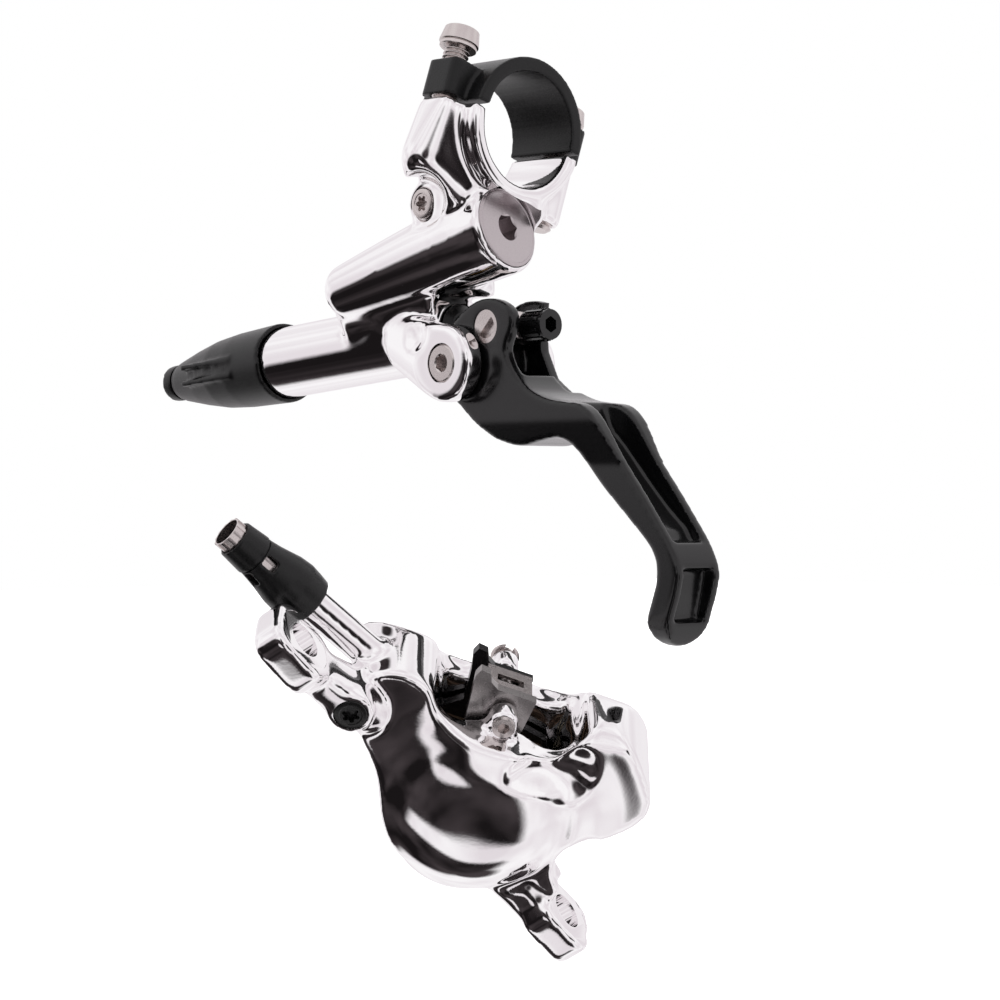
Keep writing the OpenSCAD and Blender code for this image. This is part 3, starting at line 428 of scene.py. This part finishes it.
# %% Forging
def forged(name, fills, cuts, cell_mm, rounds, body="housings", kept=(), reshape=None, carve=()):
    """The CAD node with its holes filled, carved, remeshed and relaxed, then drilled again.

    kept lists places in metres with a radius, where the relaxing is weaker."""
    piece = copy_of(name)
    for tool in fills:
        tool.select_set(True)
    bpy.context.view_layer.objects.active = piece
    piece.select_set(True)
    bpy.ops.object.join()
    apply(piece, "REMESH", mode="VOXEL", voxel_size=cell_mm / 1000)
    if carve:
        cut(piece, carve)
        apply(piece, "REMESH", mode="VOXEL", voxel_size=cell_mm / 1000)
    loose = piece.vertex_groups.new(name="loose")
    for v in piece.data.vertices:
        near = min([(v.co - at).length / radius for at, radius in kept], default=2)
        loose.add([v.index], 0.25 + 0.75 * min(max(near * 2 - 1, 0), 1), "REPLACE")
    apply(piece, "SMOOTH", factor=0.5, iterations=rounds, vertex_group="loose")
    if reshape:
        moved = [reshape(v.co, v.normal) for v in piece.data.vertices]
        for v, at in zip(piece.data.vertices, moved):
            v.co = at
        apply(piece, "SMOOTH", factor=0.5, iterations=12, vertex_group="loose")
    cut(piece, cuts)
    return finished(piece, name, body)


# %% [markdown]
# The caliper is a single block. Its near face is one full dome over the piston, steep at the lower rim and shallow
# towards the window, so the mirror finish shows it as black and white crescents. The CAD face is close to that, and
# its points are moved onto the even dome.

# %% Even out the dome over the piston
to_caliper = caliper_frame.inverted()
turn_to_caliper = to_caliper.to_3x3()
dome_rim = -10
lower_reach = 13.9


def fade(x):
    x = min(max(x, 0), 1)
    return x * x * (3 - 2 * x)


def dome_height(share):
    """Distance of the dome from the caliper's middle, at a share of the way from its centre to its rim."""
    return 19 - 9 * (1 - (1 - share ** 2.6) ** 0.62)


def even_dome(point, normal):
    """Moves a point of the near face onto a dome whose radius grows from the lower rim to the window."""
    local = to_caliper @ point * 1000
    facing = -(turn_to_caliper @ normal).y
    if local.y > dome_rim + 1 or facing < 0.15:
        return point
    across, up = local.x, local.z - piston_axis[2]
    radius = (across ** 2 + up ** 2) ** 0.5
    reach = lower_reach + 10 * ((1 + up / max(radius, 0.01)) / 2) ** 1.2
    if radius > reach * 0.97:
        return point
    dome = dome_height(radius / reach)
    share = (1 - fade((radius / reach - 0.72) / 0.22)) * fade((facing - 0.15) / 0.25) * (1 - fade((local.z - 9) / 4))
    local.y += share * (-dome - local.y)
    return caliper_frame @ (local / 1000)


print("dome 10 mm below the piston's axis", round(dome_height(10 / lower_reach), 2))

# %% [markdown]
# The mounting ears are milled flat around their holes. The pad pin, the bleed screw and the bore cap on the far side
# sit in bores that are cut after the forging, and the right shoulder has a long valley under the window's rim.

# %% Caliper body
ears = (-37.1, 37.1)
valley = ball(caliper_frame @ place((11.0, -19.2, 15.4), (0, -36, 0)), (0, 0, 0), (12.5, 8.2, 6.9))
forged(
    "caliper_body",
    [pin(ears_frame, "Z", (x, 0, 0), -5.9, -0.1, 3.6) for x in ears]
    + [pin(caliper_frame, "Y", caliper_bleed, -16.4, -8, 3.6), pin(caliper_frame, "Y", piston_axis, 14, 18.1, 12.4)]
    + [pin(caliper_frame, "Y", pad_pin, *span, 2.6) for span in ((-10.1, -5.5), (5.5, 10.1))],
    [pin(ears_frame, "Z", (x, 0, 0), *span) for x in ears
     for span in ((-20, 20, 3.3), (-0.06, 14, 5.8), (-18, -5.94, 5.8))]
    + [pin(caliper_frame, "Y", caliper_bleed, -20, -15, 3.05), pin(caliper_frame, "Y", caliper_bleed, -16, -8, 2.05),
       pin(caliper_frame, "Y", piston_axis, 14.5, 20, 11.95), pin(caliper_frame, "Y", pad_pin, -12, 12, 1.55),
       pin(caliper_frame, "Y", pad_pin, -20, -10.1, 2.6), pin(caliper_frame, "Y", pad_pin, -11, -9, 2.05)],
    0.445, 28, kept=[(ears_frame @ Vector((x / 1000, 0, -0.003)), 0.009) for x in ears], reshape=even_dome,
    carve=[valley, pin(caliper_frame, "Y", (21.8, 0, -3.8), -20, 20, 5.2)])

# %% [markdown]
# The reservoir's barrel swells towards its cap. The CAD barrel is a cone and a cylinder, and their joint would show
# as a line in the mirror finish, so the barrel's points are moved onto one even curve.

# %% Even out the reservoir's barrel
to_barrel = reservoir_frame.inverted()


def even_barrel(point, normal):
    """Moves a point of the barrel from the cone's radius to a curve's, fading out away from the barrel."""
    local = to_barrel @ point * 1000
    if not -43 < local.x < -1:
        return point
    radius = (local.y ** 2 + local.z ** 2) ** 0.5
    along = min((local.x + 43.4) / 38.4, 1)
    cone = 5.6 + 2.95 * min((local.x + 43.4) / 29.4, 1)
    curve = 5.6 + 3.05 * (1 - (1 - along) ** 1.35)
    share = max(0, 1 - abs(radius - cone) / 1.2)
    factor = 1 + share * (curve / cone - 1)
    return reservoir_frame @ (Vector((local.x, local.y * factor, local.z * factor)) / 1000)


print("barrel radius at its middle", round(5.6 + 3.05 * (1 - 0.5 ** 1.35), 2))

# %% [markdown]
# On the lever, the bleed screw sits in a small collar beside the clamp's tower. The tower is scooped out in front of
# it, so that a hex key reaches the screw, and a hollow separates the pivot ear from the cylinder.

# %% Lever body
scoop_frame = place(on_face(lever_bleed, -12)) @ toward_viewer.to_track_quat("Z", "Y").to_matrix().to_4x4()
scoop = pin(scoop_frame, "Z", (0, 0, 0), -10, 40, 4.8)
cut(scoop, [pin(row_frame, "Y", lever_bleed, -60, -12.0, 40)], "INTERSECT")
# Beside the seam between the reservoir's barrel and the cylinder, as far from the one as from the other
neck_frame = cylinder_frame @ place((-40, -12.95, -0.7), (0, -7.6, 0.75))
forged(
    "lever_body",
    [pin(reservoir_frame, "X", (0, 0, 0), -31, -0.05, 6.4, 8.4), pin(row_frame, "Y", pivot, -11.8, -7.6, 5.5),
     pin(row_frame, "Y", pivot, 7.6, 11.8, 5.5)],
    [pin(row_frame, "X", (0, 0, 0), -20, 20, 11.1, sides=160), pin(reservoir_frame, "X", (0, 0, 0), -2, 3, 7.95),
     pin(reservoir_frame, "X", (0, 0, 0), -6.3, -1, 7.05), pin(reservoir_frame, "X", (0, 0, 0), -27.5, -6, 6.1),
     pin(row_frame, "Y", pivot, -20, 20, 2.55), pin(row_frame, "Y", pivot, -14, -9.9, 3.85),
     pin(row_frame, "Y", pivot, -7.5, 7.5, 7.5), pin(row_frame, "Y", lever_bleed, -30, -12.1, 4.3),
     pin(row_frame, "Y", lever_bleed, -14, -10.4, 3.12), pin(row_frame, "Y", lever_bleed, -11, -6.5, 2.05)],
    0.45, 20, reshape=even_barrel,
    carve=[scoop, pin(row_frame, "Y", lever_bleed, -30, -12.0, 4.8),
           ball(row_frame, (-13.2, -14.2, -38.6), (6.2, 4.2, 5.0)),
           ball(neck_frame, (0, 0, 0), (20, 5.5, 5.5), segments=96)])

# %% [markdown]
# The lever blade is one black forging: two cheeks round the pivot, and a finger blade with a pocket between two
# rails. It gets the same treatment with finer cells, so that its rails stay slim but lose their sharp edges.

# %% Lever blade and clamp cap
forged(
    "lever_blade",
    [pin(row_frame, "Y", pivot, -6.7, 6.7, 3.7)] + [pin(row_frame, "Y", barrel, *span, 3.5)
                                                  for span in ((-6.9, -4.7), (4.7, 6.9))],
    [pin(row_frame, "Y", pivot, -9, 9, 3.37), pin(row_frame, "Y", barrel, -9, 9, 3.25),
     pin(pushrod_frame, "X", (0, 0, 0), -16, 2, 2.5)],
    0.36, 12, body="lever")
clamp_bolt_offset = 15.3
forged(
    "clamp_cap",
    [pin(clamp_frame, "Z", (0, side * clamp_bolt_offset, 0), 0.5, 7.5, 3.0) for side in (-1, 1)],
    [pin(row_frame, "X", (0, 0, 0), -20, 20, 11.1, sides=160)]
    + [pin(clamp_frame, "Z", (0, side * clamp_bolt_offset, 0), -5, 20, 2.65) for side in (-1, 1)],
    0.3, 5)

# %% [markdown]
# The clamp bolts are turned and rolled steel: a tapered head over a loose washer, a hexagon socket and a rolled
# thread. One profile is spun for each, with the thread drawn as rings, which look the same at this size.

# %% Clamp bolts
def clamp_bolt(name, side, raised, depth):
    """A bolt whose head stands raised millimetres over the cap, with its tip depth millimetres under the head."""
    where = clamp_frame @ place((0, side * clamp_bolt_offset, 7.6 + raised))
    pitch = 0.8
    thread = [(round(-depth + 0.2 + pitch * k + dz, 2), r) for k in range(int(depth / pitch))
              for dz, r in ((0, 2.1), (0.32, 2.5), (0.42, 2.5), (0.74, 2.1))]
    bolt = turned(name, where, [(-depth, 0), (-depth, 1.9)] + thread + [
        (0, 2.1), (0, 3.45), (0.12, 3.6), (0.68, 3.6), (0.78, 3.45), (0.84, 3.6), (1.0, 3.86), (1.3, 3.86),
        (3.8, 3.38), (4.0, 3.15), (4.0, 0)])
    cut(bolt, [pin(where, "Z", (0, 0, 0), 1.6, 5, 2.0, sides=6), pin(where, "Z", (0, 0, 0), 3.75, 4.1, 1.75, 2.25)])
    return finished(bolt, name.replace("shaped_", ""), "housings")


clamp_bolt("shaped_clamp_bolt_near", -1, 3.0, 18)
clamp_bolt("shaped_clamp_bolt_far", 1, 0.02, 21.5)

# %% [markdown]
# The small screws are turned too. The two bleed screws have a six-lobe recess, which is a round hole with six
# smaller ones round it, and the pivot screw has a hexagon socket and a bright chamfer.

# %% Small screws
def lobes(where, depth):
    """Cutters for a six-lobe recess in a face at z = 0."""
    return [pin(where, "Z", (0, 0, 0), -depth, 1, 1.12)] + [
        pin(where, "Z", (1.18 * cos(k * tau / 6), 1.18 * sin(k * tau / 6), 0), -depth, 1, 0.42, sides=24)
        for k in range(6)]


for node, where, head, shank in [
        ("lever_bleed_screw", place(on_face(lever_bleed, -11.9), outward), 1.1, 4.5),
        ("caliper_bleed_screw", caliper_frame @ place(on_face(caliper_bleed, -16.6), outward), 1.2, 6.2)]:
    screw = turned("shaped_" + node, where, [
        (-shank, 0), (-shank, 1.75), (-shank + 0.3, 2.0), (-head, 2.0), (-head, 2.8), (-head + 0.15, 3.0),
        (-0.35, 3.0), (-0.08, 2.85), (0, 2.6), (0, 2.05), (-0.1, 1.9), (-0.1, 0)])
    cut(screw, lobes(where, 1.3))
    finished(screw, node, "housings")

head_face = place(on_face(pivot, -11.9), outward)
pivot_screw = turned("shaped_pivot_screw", head_face, [
    (-23.4, 0), (-23.4, 2.2), (-23.1, 2.5), (-1.96, 2.5), (-1.96, 3.7), (-0.4, 3.7), (0, 3.3), (0, 0)])
cut(pivot_screw, [pin(head_face, "Z", (0, 0, 0), -2.1, 1, 1.75, sides=6),
                  pin(head_face, "Z", (0, 0, 0), -0.25, 0.1, 1.5, 1.95)])
finished(pivot_screw, "pivot_screw", "housings")

# %% [markdown]
# The reservoir's cap is a turned aluminium plug with a blasted face, a fine polished rim and a deep hexagon socket.

# %% Reservoir cap
cap_face = reservoir_frame @ AXIS["X"]
cap = turned("shaped_reservoir_cap", cap_face, [
    (-5, 0), (-5, 7), (-2, 7), (-2, 7.9), (-0.45, 7.9), (-0.1, 7.75), (0.1, 7.4), (0.1, 7.15), (0.02, 7.05),
    (0.02, 0)], steps=96)
cut(cap, [pin(cap_face, "Z", (0, 0, 0), -4.4, 1, 2.7, sides=6), pin(cap_face, "Z", (0, 0, 0), -0.35, 0.3, 2.3, 2.95)])
finished(cap, "reservoir_cap", "housings")

# %% [markdown]
# The return spring in the cylinder is a coil of steel wire. A rigid copy would pass through the piston when the lever
# is pulled; this copy is rigid too, and gets its finish and a mesh of its own.

# %% Return spring
spring = finished(copy_of("return_spring"), "return_spring", "housings")
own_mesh(spring)

# %% [markdown]
# Both hose boots are moulded. The copies are relaxed lightly, then the groove behind each collar is cut, where the
# mould's two halves leave the collar free to flex.

# %% Hose boots
def groove(where, start, width, r0, r1):
    """A ring cutter about the frame's X axis."""
    return turned("groove", where @ AXIS["X"], [(start, r0), (start + width, r0), (start + width, r1), (start, r1)],
                  closed=True)


forged("lever_hose_boot", [], [groove(cylinder_frame, -103.7, 0.7, 3.35, 6)], 0.36, 8)
forged("caliper_hose_boot", [], [groove(fitting_frame, -21.9, 0.5, 3.5, 6)], 0.26, 4)
